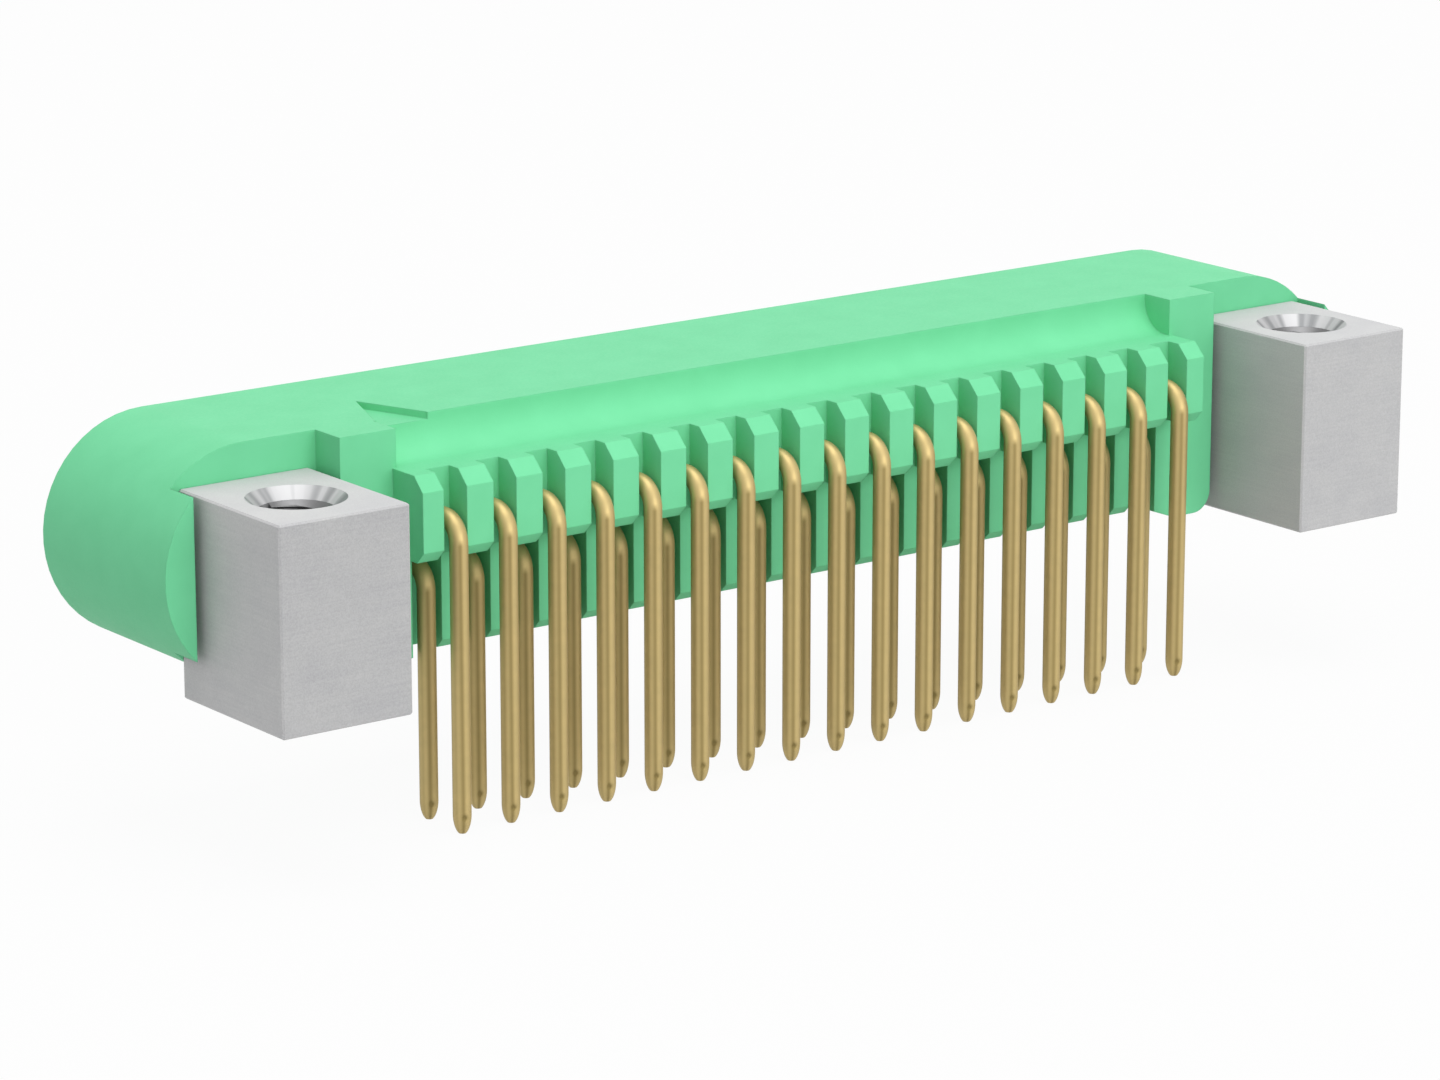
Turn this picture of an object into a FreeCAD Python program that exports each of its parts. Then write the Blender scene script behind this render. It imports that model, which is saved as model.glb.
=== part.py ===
import FreeCAD, Part

import os
from math import cos, pi, sin

# A right-angle board connector: a moulded housing, two rows of bent wire contacts, and a metal mounting
# block with a jack socket at each end. X runs along the rows, +Y points to the mating face, +Z is up.
# The origin lies midway between the two board screw axes, in the plane of the board's top.
V = FreeCAD.Vector

# Contact grid
positions = 17
pitch = 1.25
row_pitch = 1.25

# Contact wire
wire_dia = 0.40
bend_radius = 0.40
tail_length = 3.40
tip_length = 0.30
tip_dia = 0.18
tip_blunt_length = 0.12
tip_blunt_dia = 0.34
shoulder_dia = 0.66
shoulder_length = 0.30
wire_clearance = 0.015

# Housing shroud
end_reach = 2.48
shroud_height = 4.94
shroud_gap = 0.28
shroud_edge = 0.12
web_thickness = 2.10
cavity_depth = 2.93
cavity_reach = 1.45
cavity_height = 3.70
cavity_corner = 0.90
cavity_lead = 0.15
nose_recess = 0.55

# Key inside the shroud
key_width = 1.10
key_height = 0.40
key_setback = 0.60
key_inset = 1.875

# Rear of the housing: comb, slots, cove and feet
comb_setback = 0.10
comb_reach = 1.12
comb_end = 0.81
comb_above_row = 1.005
comb_below_row = 0.855
comb_top_chamfer = 0.32
comb_bottom_chamfer = 0.25
slot_depth = 0.66
upper_slot_width = 0.58
lower_slot_width = 0.74
rib_chamfer = 0.20
cove_depth = 0.86
cove_radius = 0.70
cove_end = 0.72
foot_start = 0.20
foot_ramp = 0.77
foot_corner = 0.50
marker_width = 1.30
marker_length = 1.70
marker_depth = 0.15

# Mounting blocks
screw_reach = 3.87
row_offset = 0.125
block_width = 3.13
block_depth = 3.83
block_height = 4.45
block_edge = 0.04
block_clearance = 0.20
screw_dia = 1.60
screw_sink_dia = 2.10
pocket_depth = 0.92

# Jack sockets
socket_dia = 2.90
socket_clearance = 0.02
socket_recess = 0.10
socket_edge = 0.15
socket_thread_dia = 1.60
socket_thread_depth = 3.10
socket_sink_dia = 2.00
socket_drill_point = 0.40
ridge_height = 0.06
ridge_length = 0.50
ridge_from_wall = 1.20

# Places worked out from the sizes above
row_half = (positions - 1) * pitch / 2
front_row_y = -row_offset
rear_row_y = front_row_y + row_pitch
comb_front_y = front_row_y + comb_setback
rear_face_y = comb_front_y + comb_reach
wall_y = rear_face_y + pocket_depth
cove_y = rear_face_y + cove_depth
floor_y = rear_face_y + web_thickness
mating_y = floor_y + cavity_depth
shroud_centre_z = shroud_gap + shroud_height / 2
shroud_top_z = shroud_gap + shroud_height
upper_row_z = shroud_centre_z + row_pitch / 2
lower_row_z = shroud_centre_z - row_pitch / 2
comb_top_z = upper_row_z + comb_above_row
comb_bottom_z = upper_row_z - comb_below_row
comb_half = row_half + comb_end
block_x = row_half + screw_reach
end_x = block_x + end_reach
cavity_half = row_half + cavity_reach
body_half = block_x - block_width / 2 - block_clearance
ear_inner = block_x + block_width / 2 + block_clearance
over = 1.0
near = 1e-4


def box(x0, x1, y0, y1, z0, z1):
    """A box between two corners."""
    return Part.makeBox(x1 - x0, y1 - y0, z1 - z0, V(x0, y0, z0))


def prism_xz(points, y0, y1):
    """A closed outline of (x, z) points in the XZ plane, carried from y0 to y1."""
    wire = Part.makePolygon([V(x, y0, z) for x, z in points + points[:1]])
    return Part.Face(wire).extrude(V(0, y1 - y0, 0))


def prism_yz(points, x0, x1):
    """A closed outline of (y, z) points in the YZ plane, carried from x0 to x1."""
    wire = Part.makePolygon([V(x0, y, z) for y, z in points + points[:1]])
    return Part.Face(wire).extrude(V(x1 - x0, 0, 0))


def stadium(y0, y1):
    """The shroud's outline from y0 to y1: flat top and bottom and full round ends."""
    radius = shroud_height / 2
    straight = end_x - radius
    bar = box(-straight, straight, y0, y1, shroud_centre_z - radius, shroud_centre_z + radius)
    for side in (-1, 1):
        bar = bar.fuse(rod_y(side * straight, shroud_centre_z, radius, y0, y1))
    return bar.removeSplitter()


def rod_y(x, z, radius, y0, y1):
    """A round rod along Y."""
    return Part.makeCylinder(radius, y1 - y0, V(x, y0, z), V(0, 1, 0))


def cone_y(x, z, r0, r1, y0, y1):
    """A cone along Y from radius r0 at y0 to radius r1 at y1."""
    return Part.makeCone(r0, r1, y1 - y0, V(x, y0, z), V(0, 1, 0))


def turned(points, origin, axis):
    """A turned piece: (distance along axis, radius) points revolved about the axis."""
    side = V(0, 0, 1) if axis.z == 0 else V(1, 0, 0)
    corners = [origin + axis * d + side * r for d, r in points]
    return Part.Face(Part.makePolygon(corners + corners[:1])).revolve(origin, axis, 360)


def contact_places():
    """The X of each contact, from left to right."""
    return [(i * pitch) - row_half for i in range(positions)]


def tip_profile(length):
    """The wire's tapered end as (distance, radius) points: swaged to a blunt bullet and cut flat."""
    return [(length - tip_length, wire_dia / 2), (length - tip_blunt_length, tip_blunt_dia / 2),
            (length, tip_dia / 2), (length, 0)]


def contact(x, row_z, row_y):
    """One contact: a straight pin with a shoulder, a bent elbow and a tail through the board."""
    r = wire_dia / 2
    bend_y = row_y + bend_radius
    bend_z = row_z - bend_radius
    seat = floor_y - shoulder_length - bend_y
    floor = floor_y - bend_y
    shank = [(0, 0), (0, r), (seat, r), (seat, shoulder_dia / 2), (floor, shoulder_dia / 2), (floor, r)]
    nose = tip_profile(mating_y - nose_recess - bend_y)
    pin = turned(shank + nose, V(x, bend_y, row_z), V(0, 1, 0))
    section = Part.Face(Part.Wire(Part.makeCircle(r, V(x, bend_y, row_z), V(0, 1, 0))))
    elbow = section.revolve(V(x, bend_y, bend_z), V(1, 0, 0), 90)
    tail = [(0, 0), (0, r)] + tip_profile(bend_z + tail_length)
    tail = turned(tail, V(x, row_y, bend_z), V(0, 0, -1))
    return pin.fuse([elbow, tail]).removeSplitter()


def rear_body():
    """The block of plastic behind the web, with a foot at each end that stands on the board."""
    foot_x = row_half + foot_start
    right = [(foot_x, shroud_gap), (foot_x + foot_ramp, 0), (body_half, 0), (body_half, shroud_top_z)]
    left = [(-x, z) for x, z in reversed(right)]
    body = prism_xz(right + left, rear_face_y, wall_y)
    corners = [e for e in body.Edges
               if abs(abs(e.CenterOfMass.x) - body_half) < near and abs(e.CenterOfMass.z) < near]
    return body.makeFillet(foot_corner, corners)


def ears():
    """The shroud's two ends, carried on past the pockets to the rear face."""
    ends = stadium(rear_face_y, wall_y)
    return ends.cut(box(-ear_inner, ear_inner, rear_face_y - over, wall_y + over, -over, shroud_top_z + over))


def comb():
    """The rail that guides the upper tails, before its slots are cut."""
    y0, y1 = comb_front_y, rear_face_y + comb_bottom_chamfer
    top, bottom = comb_top_chamfer, comb_bottom_chamfer
    outline = [(y1, comb_bottom_z), (y0 + bottom, comb_bottom_z), (y0, comb_bottom_z + bottom),
               (y0, comb_top_z - top), (y0 + top, comb_top_z), (y1, comb_top_z)]
    return prism_yz(outline, -comb_half, comb_half)


def cove():
    """The cutter for the long hollow above the comb: a level floor, a round corner and an upright wall."""
    centre_y, centre_z = cove_y - cove_radius, comb_top_z + cove_radius
    half = row_half + cove_end
    corner_a, corner_b = V(-half, centre_y, comb_top_z), V(-half, cove_y, centre_z)
    middle = V(-half, centre_y + cove_radius * sin(pi / 4), centre_z - cove_radius * cos(pi / 4))
    top_b, top_a = V(-half, cove_y, shroud_top_z + over), V(-half, comb_front_y - over, shroud_top_z + over)
    low_a = V(-half, comb_front_y - over, comb_top_z)
    edges = [Part.makeLine(low_a, corner_a), Part.Arc(corner_a, middle, corner_b).toShape(),
             Part.makeLine(corner_b, top_b), Part.makeLine(top_b, top_a), Part.makeLine(top_a, low_a)]
    return Part.Face(Part.Wire(edges)).extrude(V(2 * half, 0, 0))


def tail_slots():
    """Cutters for the comb's slots and for the slots of the lower tails in the rear face."""
    cutters = []
    for x in contact_places():
        half = upper_slot_width / 2
        y0 = comb_front_y - over
        y1 = comb_front_y + slot_depth
        cutters.append(box(x - half, x + half, y0, y1, comb_bottom_z - over, comb_top_z + over))
    for x in contact_places():
        half = lower_slot_width / 2
        y0 = rear_face_y - over
        y1 = rear_face_y + slot_depth
        cutters.append(box(x - half, x + half, y0, y1, -over, comb_bottom_z))
    return cutters


def rib_edge():
    """The cutter that breaks the lower rear edge of the ribs."""
    half = row_half + foot_start
    y, z, c = rear_face_y, shroud_gap, rib_chamfer
    return prism_yz([(y - over, z - over), (y + c + over, z - over), (y + c, z), (y, z + c), (y - over, z + c)],
                    -half, half)


def marker():
    """The cutter for the shallow arrow in the top that points out the first contact."""
    x = -row_half
    half = marker_width / 2
    z = shroud_top_z - marker_depth
    corners = [V(x - half, wall_y - over, z), V(x + half, wall_y - over, z), V(x + half, wall_y, z),
               V(x, wall_y + marker_length, z), V(x - half, wall_y, z)]
    return Part.Face(Part.makePolygon(corners + corners[:1])).extrude(V(0, 0, over))


def cavity():
    """The cutter for the hollow that takes the plug, with its mouth eased."""
    half_x, half_z = cavity_half, cavity_height / 2
    z = shroud_centre_z
    hollow = box(-half_x, half_x, floor_y, mating_y + over, z - half_z, z + half_z)
    upper = [e for e in hollow.Edges
             if abs(e.CenterOfMass.y - (floor_y + mating_y + over) / 2) < near and e.CenterOfMass.z > z]
    hollow = hollow.makeFillet(cavity_corner, upper)
    lead = cavity_lead
    mouth = Part.makeLoft([
        mouth_wire(half_x, half_z, mating_y - lead),
        mouth_wire(half_x + 2 * lead, half_z + 2 * lead, mating_y + lead),
    ], True, True)
    return hollow.fuse(mouth)


def mouth_wire(half_x, half_z, y):
    """A rectangle about the shroud's centre line with large upper corners, as a closed wire at y."""
    z0, z1 = shroud_centre_z - half_z, shroud_centre_z + half_z
    c = cavity_corner
    s = c * (1 - cos(pi / 4))
    a = V(-half_x, y, z0)
    b = V(half_x, y, z0)
    right_low, right_high = V(half_x, y, z1 - c), V(half_x - c, y, z1)
    left_high, left_low = V(c - half_x, y, z1), V(-half_x, y, z1 - c)
    edges = [Part.makeLine(a, b), Part.makeLine(b, right_low),
             Part.Arc(right_low, V(half_x - s, y, z1 - s), right_high).toShape(),
             Part.makeLine(right_high, left_high),
             Part.Arc(left_high, V(s - half_x, y, z1 - s), left_low).toShape(), Part.makeLine(left_low, a)]
    return Part.Wire(edges)


def key_rib():
    """The rib on the shroud's roof that lets the plug in only one way round."""
    top = shroud_centre_z + cavity_height / 2
    x = row_half - key_inset
    half = key_width / 2
    return box(x - half, x + half, floor_y - shoulder_length, mating_y - key_setback,
               top - key_height, top + shroud_edge)


def contact_holes():
    """Cutters for the contacts: a hole through the web and a seat for the shoulder."""
    r = wire_dia / 2 + wire_clearance
    seat_r = shoulder_dia / 2 + wire_clearance
    cutters = []
    for x in contact_places():
        for z in (lower_row_z, upper_row_z):
            cutters.append(rod_y(x, z, r, comb_front_y, floor_y + over))
            cutters.append(rod_y(x, z, seat_r, floor_y - shoulder_length, floor_y + over))
    return cutters


def socket_ridge(side, grow):
    """The raised ring round a jack socket, or its groove in the housing when grown by a clearance."""
    y0 = wall_y + ridge_from_wall - grow
    y1 = wall_y + ridge_from_wall + ridge_length + grow
    return rod_y(side * block_x, shroud_centre_z, socket_dia / 2 + ridge_height + grow, y0, y1)


def socket_bores():
    """Cutters for the two bores that hold the jack sockets."""
    cutters = []
    for side in (-1, 1):
        bore = rod_y(side * block_x, shroud_centre_z, socket_dia / 2 + socket_clearance,
                     wall_y - over, mating_y + over)
        cutters += [bore, socket_ridge(side, socket_clearance)]
    return cutters


def mating_edges(solid):
    """The outer edges of the mating face."""
    return [e for e in solid.Edges
            if all(abs(v.Point.y - mating_y) < near for v in e.Vertexes)
            and abs(e.CenterOfMass.y - mating_y) < near]


def housing():
    """The moulded body, all of one piece."""
    shroud = stadium(wall_y, mating_y)
    shroud = shroud.makeFillet(shroud_edge, mating_edges(shroud))
    solid = shroud.fuse([ears(), rear_body(), comb()]).removeSplitter()
    solid = solid.cut([cavity(), cove(), rib_edge(), marker()] + tail_slots() + socket_bores())
    solid = solid.fuse(key_rib()).removeSplitter()
    return solid.cut(contact_holes()).removeSplitter()


def mount_block(side):
    """A machined block with a tapped board screw hole and a jack socket turned on its front."""
    x = side * block_x
    y0, y1 = wall_y - block_depth, wall_y
    z = shroud_centre_z
    block = box(x - block_width / 2, x + block_width / 2, y0, y1, 0, block_height)
    block = block.makeChamfer(block_edge, [e for e in block.Edges])
    front = mating_y - socket_recess
    r = socket_dia / 2
    barrel = rod_y(x, z, r, wall_y - over, front - socket_edge)
    barrel = barrel.fuse([cone_y(x, z, r, r - socket_edge, front - socket_edge, front),
                          socket_ridge(side, 0)])
    block = block.fuse(barrel).removeSplitter()
    return block.cut([screw_hole(x), socket_hole(x)]).removeSplitter()


def screw_hole(x):
    """The cutter for the tapped hole along Z, countersunk above and below."""
    r, sink = screw_dia / 2, screw_sink_dia / 2
    slope = sink - r
    profile = [(-over, 0), (-over, sink), (0, sink), (slope, r), (block_height - slope, r),
               (block_height, sink), (block_height + over, sink), (block_height + over, 0)]
    return turned(profile, V(x, 0, 0), V(0, 0, 1))


def socket_hole(x):
    """The cutter for the tapped blind hole along Y that takes the plug's jackscrew."""
    front = mating_y - socket_recess
    r, sink = socket_thread_dia / 2, socket_sink_dia / 2
    slope = sink - r
    depth = socket_thread_depth
    profile = [(-depth - socket_drill_point, 0), (-depth, r), (-slope, r), (0, sink), (over, sink), (over, 0)]
    return turned(profile, V(x, front, shroud_centre_z), V(0, 1, 0))


def build():
    """Every node by name."""
    nodes = {"housing": housing()}
    for side, word in ((-1, "left"), (1, "right")):
        nodes["mount_block_" + word] = mount_block(side)
    for row, z, y in (("upper", upper_row_z, front_row_y), ("lower", lower_row_z, rear_row_y)):
        for i, x in enumerate(contact_places()):
            nodes["contact_%s_%02d" % (row, i + 1)] = contact(x, z, y)
    return nodes


os.makedirs("parts", exist_ok=True)
for name, shape in build().items():
    shape.exportStep("parts/%s.step" % name)
    print(name, len(shape.Solids), shape.isValid(), round(shape.Volume, 4))
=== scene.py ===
from math import cos, pi, radians, sin

import bpy
import numpy as np
from mathutils import Matrix, Vector


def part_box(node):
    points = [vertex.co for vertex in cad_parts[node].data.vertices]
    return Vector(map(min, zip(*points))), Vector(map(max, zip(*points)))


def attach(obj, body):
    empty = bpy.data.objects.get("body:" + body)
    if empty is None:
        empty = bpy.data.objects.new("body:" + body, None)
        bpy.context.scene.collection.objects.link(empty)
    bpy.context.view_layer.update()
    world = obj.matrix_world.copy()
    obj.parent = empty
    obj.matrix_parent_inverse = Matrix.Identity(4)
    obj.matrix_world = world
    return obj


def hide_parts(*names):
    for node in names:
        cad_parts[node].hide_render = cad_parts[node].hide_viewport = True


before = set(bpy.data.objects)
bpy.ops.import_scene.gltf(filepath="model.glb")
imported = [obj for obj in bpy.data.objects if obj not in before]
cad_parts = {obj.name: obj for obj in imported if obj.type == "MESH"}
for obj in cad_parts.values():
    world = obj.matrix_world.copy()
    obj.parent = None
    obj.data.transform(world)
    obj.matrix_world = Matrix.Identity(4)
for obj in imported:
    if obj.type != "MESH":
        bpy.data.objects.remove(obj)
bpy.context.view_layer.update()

# Housing
# One injection moulding in green glass-filled plastic: the shroud round the plug's opening, the comb that
# guides the tails, two feet and two ears. Its skin copies the tool steel, so it is smooth with a faint grain.
mm = 0.001
deep_green = (0.151, 0.600, 0.304)
light_green = (0.164, 0.629, 0.326)
mottle_size = 0.9 * mm
moulded_grain = 0.05 * mm
broken_edge = 0.035 * mm
plastic_roughness = (0.50, 0.64)
plastic_shine = 0.22


def bare_material(name):
    """A material that holds only its Principled shader, returned with its node tree and that shader."""
    material = bpy.data.materials.new(name)
    material.use_nodes = True
    return material, material.node_tree, material.node_tree.nodes["Principled BSDF"]


def add_node(tree, kind, inputs=None, **settings):
    """A node with its settings. Each entry of inputs gives a socket a value or another node's output."""
    node = tree.nodes.new(kind)
    for name, value in settings.items():
        setattr(node, name, value)
    for name, value in (inputs or {}).items():
        if isinstance(value, bpy.types.NodeSocket):
            tree.links.new(value, node.inputs[name])
        else:
            node.inputs[name].default_value = value
    return node


def grain(tree, vector, size, detail=3.0, stretch=(1.0, 1.0, 1.0)):
    """A soft noise between 0 and 1 with lumps of that size in metres, drawn out along the axes by stretch."""
    scale = tuple(1.0 / (size * s) for s in stretch)
    place = add_node(tree, "ShaderNodeMapping", {"Vector": vector, "Scale": scale})
    noise = add_node(tree, "ShaderNodeTexNoise", {"Vector": place.outputs[0], "Scale": 1.0, "Detail": detail})
    return noise.outputs["Fac"]


def spread(tree, value, low, high, start=0.3, end=0.7):
    """The value's part from start to end carried onto the range from low to high."""
    return add_node(tree, "ShaderNodeMapRange", {
        "Value": value, "From Min": start, "From Max": end, "To Min": low, "To Max": high}).outputs[0]


def blended(tree, share, first, second):
    """A colour that runs from first to second as share goes from 0 to 1."""
    mix = add_node(tree, "ShaderNodeMix", data_type="RGBA")
    tree.links.new(share, mix.inputs[0])
    for socket, colour in ((mix.inputs[6], first), (mix.inputs[7], second)):
        if isinstance(colour, bpy.types.NodeSocket):
            tree.links.new(colour, socket)
        else:
            socket.default_value = (*colour, 1.0)
    return mix.outputs[2]


def moulded_plastic():
    """Green plastic with a faint mottle, a fine grain and softly broken edges."""
    material, tree, shader = bare_material("moulded_green_plastic")
    place = add_node(tree, "ShaderNodeTexCoord").outputs["Object"]
    mottle = spread(tree, grain(tree, place, mottle_size), 0.0, 1.0)
    fine = grain(tree, place, moulded_grain, detail=2.0)
    tree.links.new(blended(tree, mottle, deep_green, light_green), shader.inputs["Base Color"])
    tree.links.new(spread(tree, fine, *plastic_roughness), shader.inputs["Roughness"])
    shader.inputs["Specular IOR Level"].default_value = plastic_shine
    edge = add_node(tree, "ShaderNodeBevel", {"Radius": broken_edge}, samples=6)
    bump = add_node(tree, "ShaderNodeBump", {
        "Strength": 0.10, "Distance": 0.01 * mm, "Height": fine, "Normal": edge.outputs[0]})
    tree.links.new(bump.outputs[0], shader.inputs["Normal"])
    return material


def finish_node(name, material):
    """Gives the finish to a piece that keeps its solid from the frame."""
    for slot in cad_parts[name].material_slots:
        slot.material = material


finish_node("housing", moulded_plastic())

# Mounting blocks
# Two machined steel pieces, one at each end. Each is a milled block, tapped right through for the board
# screw, with a jack socket turned on its front that sits in a bore of the housing.
block_low, block_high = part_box("mount_block_right")
screw_x = (block_low.x + block_high.x) / 2
skin_grey = (0.565, 0.565, 0.572)
skin_pale = (0.60, 0.60, 0.60)
cloud_size = 0.8 * mm
pit_size = 0.03 * mm
mill_pass = 0.05 * mm
pass_stretch = 30.0
skin_roughness = (0.86, 0.98)
sink_rim = 1.055 * mm
# Painted shade and painted reflections inside the rim: its colour runs between these two greys, darker than
# the skin, in light and dark streaks.
reflection_streak_dark = (0.28, 0.285, 0.29)
reflection_streak_bright = (0.53, 0.53, 0.535)
streak_size = 0.30
streak_range = (0.37, 0.56)
streaks_apart = 0.35
sink_roughness = 0.66


def blasted_steel():
    """Bead-blasted steel: a pale matt skin of tiny pits, over traces of the mill's passes.

    The board screw's hole was cut after the blasting. Inside its rim the metal is less rough and its colour
    is darker, as painted shade in the hole, with light and dark streaks that are painted reflections, drawn
    as a chattering countersink's marks: a noise of the direction from the screw's axis. The left block takes
    that noise from another place than the right one, so that no two countersinks are alike.
    """
    material, tree, shader = bare_material("blasted_steel")
    place = add_node(tree, "ShaderNodeTexCoord").outputs["Object"]
    cloud = grain(tree, place, cloud_size)
    pits = grain(tree, place, pit_size, detail=2.0)
    passes = grain(tree, place, mill_pass, detail=2.0, stretch=(pass_stretch, pass_stretch, 1.0))
    shade = add_node(tree, "ShaderNodeMath", {0: cloud, 1: passes}, operation="ADD").outputs[0]
    skin = blended(tree, spread(tree, shade, 0.0, 1.0, 0.7, 1.3), skin_grey, skin_pale)
    parts = add_node(tree, "ShaderNodeSeparateXYZ", {0: place})
    far = add_node(tree, "ShaderNodeMath", {0: parts.outputs[0]}, operation="ABSOLUTE").outputs[0]
    side = add_node(tree, "ShaderNodeMath", {0: parts.outputs[0]}, operation="SIGN").outputs[0]
    across = add_node(tree, "ShaderNodeMath", {0: far, 1: screw_x}, operation="SUBTRACT").outputs[0]
    spoke = add_node(tree, "ShaderNodeCombineXYZ", {0: across, 1: parts.outputs[1]}).outputs[0]
    reach = add_node(tree, "ShaderNodeVectorMath", {0: spoke}, operation="LENGTH").outputs["Value"]
    heading = add_node(tree, "ShaderNodeVectorMath", {0: spoke}, operation="NORMALIZE").outputs[0]
    lift = add_node(tree, "ShaderNodeMath", {0: side, 1: -streaks_apart, 2: streaks_apart},
                    operation="MULTIPLY_ADD").outputs[0]
    own = add_node(tree, "ShaderNodeCombineXYZ", {2: lift}).outputs[0]
    rim_place = add_node(tree, "ShaderNodeVectorMath", {0: heading, 1: own}, operation="ADD").outputs[0]
    # Painted reflections: light and dark streaks round the screw's axis, over a colour kept darker than the
    # skin as painted shade in the hole.
    streaks = spread(tree, grain(tree, rim_place, streak_size, detail=1.0), 0.0, 1.0, *streak_range)
    painted_sink = blended(tree, streaks, reflection_streak_dark, reflection_streak_bright)
    cut = add_node(tree, "ShaderNodeMath", {0: reach, 1: sink_rim}, operation="LESS_THAN").outputs[0]
    tree.links.new(blended(tree, cut, skin, painted_sink), shader.inputs["Base Color"])
    pitted = spread(tree, pits, *skin_roughness)
    rough = add_node(tree, "ShaderNodeMix", {0: cut, 2: pitted, 3: sink_roughness})
    tree.links.new(rough.outputs[0], shader.inputs["Roughness"])
    shader.inputs["Metallic"].default_value = 1.0
    bump = add_node(tree, "ShaderNodeBump", {"Strength": 0.12, "Distance": 0.004 * mm, "Height": pits})
    tree.links.new(bump.outputs[0], shader.inputs["Normal"])
    return material


steel = blasted_steel()
finish_node("mount_block_left", steel)
finish_node("mount_block_right", steel)

# Screw threads
# The M1.6 threads cut by a tap into the four holes of the mounting blocks: one right through each block for
# the board screw and one blind in each jack socket. They are the block's own metal, left as the tap cut it,
# but coloured dark as painted shade inside the holes.
thread_pitch = 0.35 * mm
thread_wall = 0.80 * mm
thread_crest = 0.62 * mm
thread_embed = 0.03 * mm
crest_half = 0.125
flank_half = 0.4375
root_half = 0.46
flank_steps = 6
cone_clearance = 0.004 * mm
steps_per_turn = 48
screw_sink = 0.25 * mm
jack_wall = (2.925 * mm, 5.825 * mm)
socket_z = 2.75 * mm
# Painted shade: the threads are coloured far darker than the blasted skin, for the shade inside the holes.
shaded_cut_dark = (0.15, 0.15, 0.155)
shaded_cut_light = (0.21, 0.21, 0.21)
cut_roughness = (0.40, 0.52)
tool_mark = 0.04 * mm
sharp_edge = radians(35)


def shaded_cut_steel():
    """Cut steel coloured far darker than the blasted skin as painted shade inside the holes, with the tap's
    fine tool marks as a changing gloss.
    """
    material, tree, shader = bare_material("shaded_cut_steel")
    place = add_node(tree, "ShaderNodeTexCoord").outputs["Object"]
    marks = grain(tree, place, tool_mark)
    tree.links.new(blended(tree, marks, shaded_cut_dark, shaded_cut_light), shader.inputs["Base Color"])
    tree.links.new(spread(tree, marks, *cut_roughness), shader.inputs["Roughness"])
    shader.inputs["Metallic"].default_value = 1.0
    return material


def closed_skin(name, rings, material):
    """One closed mesh from rings of points: ring i is joined to ring i + 1, and the two ends are filled."""
    count, around = rings.shape[:2]
    first = np.arange(count - 1)[:, None] * around
    here = np.arange(around)[None, :]
    ahead = (here + 1) % around
    sides = np.stack([first + here, first + ahead, first + around + ahead, first + around + here], axis=-1)
    ends = [list(range(around))[::-1], list(range((count - 1) * around, count * around))]
    mesh = bpy.data.meshes.new(name)
    mesh.from_pydata(rings.reshape(-1, 3).tolist(), [], sides.reshape(-1, 4).tolist() + ends)
    mesh.polygons.foreach_set("use_smooth", np.ones(len(mesh.polygons), dtype=bool))
    mesh.set_sharp_from_angle(angle=sharp_edge)
    mesh.materials.append(material)
    piece = bpy.data.objects.new(name, mesh)
    bpy.context.scene.collection.objects.link(piece)
    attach(piece, "root")
    return piece


def thread_rings(start, end):
    """Rings of a thread's ridge about the Z axis, in a hole whose straight wall runs from start to end.

    The ridge's middle climbs a helix: angle t, height start + pitch * t / (2 * pi). Its section is a V cut
    flat at the crest, on a root sunk into the wall, with half widths given as parts of the pitch. Both
    countersinks cut it at 45 degrees: no point comes nearer the axis than wall + c - d, where d is its depth
    inside the straight wall, below 0 in a countersink, and c a hair's clearance behind the sink's face.
    """
    turns = (end - start) / thread_pitch
    angle = np.linspace(0, 2 * pi * turns, int(turns * steps_per_turn))
    root = thread_wall + thread_embed
    flank = np.linspace(thread_wall, thread_crest, flank_steps)
    depth = np.concatenate([[root], flank, flank[::-1], [root]])
    wide = np.concatenate([[root_half], np.linspace(flank_half, crest_half, flank_steps)]) * thread_pitch
    height = (start + thread_pitch * angle / (2 * pi))[:, None] + np.concatenate([-wide, wide[::-1]])
    inside = np.minimum(height - start, end - height)
    radius = np.maximum(depth, thread_wall + cone_clearance - inside)
    return radius * np.cos(angle)[:, None], radius * np.sin(angle)[:, None], height


tapped = shaded_cut_steel()
for side, word in ((-1, "left"), (1, "right")):
    across, along, height = thread_rings(block_low.z + screw_sink, block_high.z - screw_sink)
    rings = np.stack([side * screw_x + across, along, height], axis=-1)
    closed_skin("board_thread_" + word, rings, tapped)
    across, along, height = thread_rings(*jack_wall)
    rings = np.stack([side * screw_x + across, height, socket_z - along], axis=-1)
    closed_skin("jack_thread_" + word, rings, tapped)

# Contacts
# Two rows of round copper-alloy wire, gold plated. Each is drawn, stamped to a shoulder, bent once to a
# right angle and swaged to a blunt point at both ends. The shoulder is pressed into the shroud's floor, and
# the feeder that pushed it there has left a small dimple near the tail's end, whose darker colour is painted
# shade. Dark lines run the length of the plate: partly the die's marks, partly a painted reflection band.
wire_radius = 0.20 * mm
bend_radius = 0.50 * mm
shoulder_radius = 0.33 * mm
shoulder_length = 0.30 * mm
shoulder_front = 3.195 * mm
point_length = 0.42 * mm
point_reach = 0.46 * mm
wire_around = 60
point_rings = 19
bend_rings = 15
tail_rings = 10
dimple_rings = 12
dimple_place = radians(103)
dimple_height = 0.36 * mm
dimple_radius = 0.065 * mm
dimple_depth = 0.025 * mm
tail_lean = radians(89)
bend_fade = radians(12)
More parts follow.
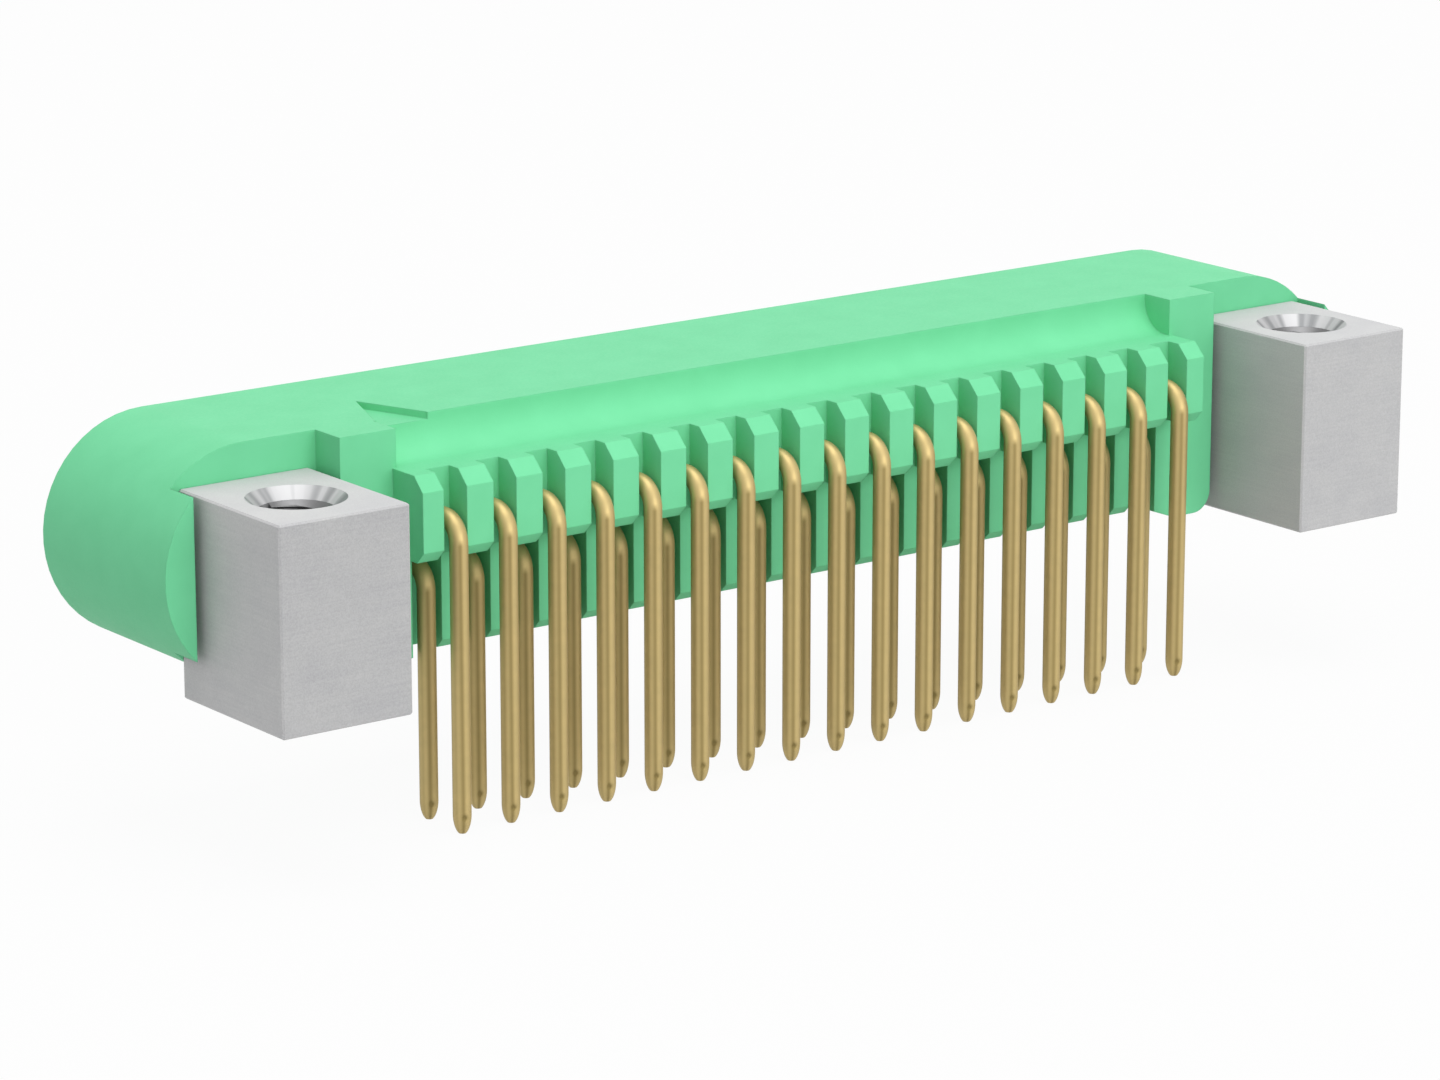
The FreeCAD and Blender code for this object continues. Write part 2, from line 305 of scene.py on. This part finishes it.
# Each dark line, partly a die mark and partly a painted reflection band, laid the same on every wire: its
# place round the wire and its width, in degrees, and how dark it is.
die_and_reflection_marks = ((115, 15, 0.80), (158, 9, 0.20), (62, 9, 0.15), (20, 14, 0.50), (205, 12, 0.40),
             (250, 10, 0.40), (300, 16, 0.75), (340, 8, 0.30))
gold_deep = (0.505, 0.392, 0.172)
gold_light = (0.545, 0.417, 0.182)
gold_scored_and_shaded = (0.225, 0.168, 0.056)
gold_cloud = 0.25 * mm
gold_roughness = (0.52, 0.60)
gold_metallic = 0.7


def gold_plate():
    """Satin gold over drawn wire: lengthwise lines are darker and a little rougher, partly the die's marks
    and partly a painted reflection band, and the dimple is darkened as painted shade.
    """
    material, tree, shader = bare_material("gold_plate")
    place = add_node(tree, "ShaderNodeTexCoord").outputs["Object"]
    line = add_node(tree, "ShaderNodeAttribute", attribute_name="dark_line_and_shade").outputs["Fac"]
    cloud = spread(tree, grain(tree, place, gold_cloud), 0.0, 1.0)
    plate = blended(tree, cloud, gold_deep, gold_light)
    # Dark lines from the attribute: partly the die's marks, partly a painted reflection band, and painted
    # shade in the dimple.
    tree.links.new(blended(tree, line, plate, gold_scored_and_shaded), shader.inputs["Base Color"])
    tree.links.new(spread(tree, line, *gold_roughness, 0.0, 1.0), shader.inputs["Roughness"])
    shader.inputs["Metallic"].default_value = gold_metallic
    return material


def wire_rings(low, high):
    """Rings of one contact whose solid has its box from low to high.

    The centre line runs from the pin's point straight along -Y, round a quarter circle and straight down.
    Ring i is C + R * (cos a * X + sin a * N), with N the outer normal of the bend in the YZ plane. R is the
    wire's radius, or the shoulder's on the shoulder, or at a point the radius * sqrt(1 - (s / c)^2), with s
    from its start and c its reach. The dimple takes depth * exp(-(d / r)^2) off R, where d is the distance
    from its middle on the tail, and the rings lie closer together there. The angles a, each ring's lean from
    level and the dimple's share of its depth are given too.
    """
    row_y = low.y + wire_radius
    row_z = high.z - shoulder_radius
    ogive = np.linspace(0, point_length, point_rings)
    taper = wire_radius * np.sqrt(1 - (ogive / point_reach) ** 2)
    shoulder_back = shoulder_front - shoulder_length
    steps = [(shoulder_front, wire_radius), (shoulder_front, shoulder_radius),
             (shoulder_back, shoulder_radius), (shoulder_back, wire_radius),
             (row_y + bend_radius, wire_radius)]
    turn = np.radians(np.linspace(0, 90, bend_rings))[1:]
    fine = low.z + np.linspace(dimple_height + 3 * dimple_radius, point_length, dimple_rings)[:-1]
    straight = np.concatenate([np.linspace(row_z - bend_radius, fine[0], tail_rings)[1:-1], fine])
    tail_z = np.concatenate([straight, low.z + point_length - ogive])
    middle_y = np.concatenate([(high.y - point_length + ogive)[::-1], [y for y, r in steps],
                               row_y + bend_radius * (1 - np.sin(turn)), np.full(len(tail_z), row_y)])
    pin_count = len(ogive) + len(steps)
    middle_z = np.concatenate([np.full(pin_count, row_z), row_z - bend_radius * (1 - np.cos(turn)), tail_z])
    radius = np.concatenate([taper[::-1], [r for y, r in steps],
                             np.full(len(turn) + len(straight), wire_radius), taper])
    lean = np.concatenate([np.zeros(pin_count), turn, np.full(len(tail_z), pi / 2)])[:, None]
    around = np.linspace(0, 2 * pi, wire_around, endpoint=False)[None, :]
    off = np.hypot(wire_radius * (around - dimple_place), middle_z[:, None] - low.z - dimple_height)
    dimple = np.where(lean > tail_lean, np.exp(-(off / dimple_radius) ** 2), 0)
    radius = radius[:, None] - dimple_depth * dimple
    rings = np.stack([(low.x + high.x) / 2 + radius * np.cos(around),
                      middle_y[:, None] - radius * np.sin(around) * np.sin(lean),
                      middle_z[:, None] + radius * np.sin(around) * np.cos(lean)], axis=-1)
    return rings, around, lean, dimple


def lines_and_dimple_shade(around, lean, dimple):
    """How dark the plate is at each point: bumps exp(-((a - place) / width)^2) round it, and the dimple.

    The lines run the length of the wire: partly the die's marks, partly a painted reflection band, the same
    on every wire. They fade out over the bend. The dimple's darkening is painted shade.
    """
    dark = np.zeros_like(around)
    for place, width, depth in die_and_reflection_marks:
        off = (around - radians(place) + pi) % (2 * pi) - pi
        dark = dark + depth * np.exp(-(off / radians(width)) ** 2)
    bent = np.clip(np.minimum(lean, pi / 2 - lean) / bend_fade, 0, 1)
    # The dimple adds painted shade.
    return np.clip(dark * (1 - bent) + dimple, 0, 1)


gold = gold_plate()
gold_names = sorted(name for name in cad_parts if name.startswith("contact_"))
for name in gold_names:
    rings, *places = wire_rings(*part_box(name))
    piece = closed_skin(name.replace("contact", "wire"), rings, gold)
    line = piece.data.attributes.new("dark_line_and_shade", "FLOAT", "POINT")
    line.data.foreach_set("value", lines_and_dimple_shade(*places).ravel().astype(np.float32))
    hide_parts(name)

# Floor
# A plain pale table top under the tails, wide enough to fill the view behind the part.
floor_half = 600 * mm
floor_z = min(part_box(name)[0].z for name in gold_names)
floor_grey = (0.60, 0.60, 0.60, 1.0)
floor_glow = 0.95


def seen_share(tree, seen, otherwise):
    """The value seen for rays from the camera, in gloss and through glass, and the other for the rest."""
    rays = add_node(tree, "ShaderNodeLightPath")
    share = rays.outputs["Is Camera Ray"]
    for kind in ("Is Glossy Ray", "Is Transmission Ray"):
        either = add_node(tree, "ShaderNodeMath", {0: share, 1: rays.outputs[kind]}, operation="MAXIMUM")
        share = either.outputs[0]
    return spread(tree, share, otherwise, seen, 0.0, 1.0)


def pale_floor():
    """Matt pale grey that shows as the white background and still keeps a part of the shadow."""
    material, tree, shader = bare_material("pale_floor")
    shader.inputs["Base Color"].default_value = floor_grey
    shader.inputs["Roughness"].default_value = 0.9
    glow = add_node(tree, "ShaderNodeEmission", {"Color": (1.0, 1.0, 1.0, 1.0), "Strength": 1.0})
    share = seen_share(tree, floor_glow, 0.0)
    mix = add_node(tree, "ShaderNodeMixShader", {0: share, 1: shader.outputs[0], 2: glow.outputs[0]})
    tree.links.new(mix.outputs[0], tree.nodes["Material Output"].inputs["Surface"])
    return material


corners = [(-floor_half, -floor_half, floor_z), (floor_half, -floor_half, floor_z),
           (floor_half, floor_half, floor_z), (-floor_half, floor_half, floor_z)]
floor_mesh = bpy.data.meshes.new("floor")
floor_mesh.from_pydata(corners, [], [(0, 1, 2, 3)])
floor_mesh.materials.append(pale_floor())
floor = bpy.data.objects.new("floor", floor_mesh)
bpy.context.scene.collection.objects.link(floor)

# Light
# An even white room with two large soft lamps, one overhead and one in front.
room_level = 0.62
lamp_size = 220 * mm
lamp_distance = 300 * mm
lamps = (("overhead", (0.0, -0.1, 1.0), 0.54), ("front", (0.0, -1.0, 0.15), 0.57))

world = bpy.data.worlds.new("white_room")
bpy.context.scene.world = world
world.use_nodes = True
room = world.node_tree
room.nodes.clear()
white = add_node(room, "ShaderNodeBackground", {
    "Color": (1.0, 1.0, 1.0, 1.0), "Strength": seen_share(room, 1.0, room_level)})
add_node(room, "ShaderNodeOutputWorld", {"Surface": white.outputs[0]})

for word, toward, watts in lamps:
    lamp_data = bpy.data.lights.new("lamp_" + word, "AREA")
    lamp_data.size = lamp_size
    lamp_data.energy = watts
    lamp = bpy.data.objects.new("lamp_" + word, lamp_data)
    lamp.location = Vector(toward).normalized() * lamp_distance
    lamp.rotation_mode = "QUATERNION"
    lamp.rotation_quaternion = lamp.location.to_track_quat("Z", "Y")
    bpy.context.scene.collection.objects.link(lamp)

# Camera
# It looks at the tails' side from the left and above, as the photograph does, with a long lens.
view_azimuth = radians(36.92)
view_elevation = radians(14.57)
view_distance = 115.644 * mm
view_right = 2.493 * mm
view_up = -1.339 * mm
ahead = Vector((sin(view_azimuth) * cos(view_elevation), cos(view_azimuth) * cos(view_elevation),
                -sin(view_elevation)))
right = ahead.cross(Vector((0, 0, 1))).normalized()
above = right.cross(ahead)
camera_data = bpy.data.cameras.new("camera")
camera_data.sensor_width = 36.0
camera_data.lens = 131.2
camera_data.clip_start = 10 * mm
camera_data.clip_end = 10.0
camera = bpy.data.objects.new("camera", camera_data)
facing = Matrix((right, above, -ahead)).transposed().to_4x4()
place = -(ahead * view_distance + right * view_right + above * view_up)
camera.matrix_world = Matrix.Translation(place) @ facing
bpy.context.scene.collection.objects.link(camera)
bpy.context.scene.camera = camera

bpy.context.scene.view_settings.view_transform = "Standard"
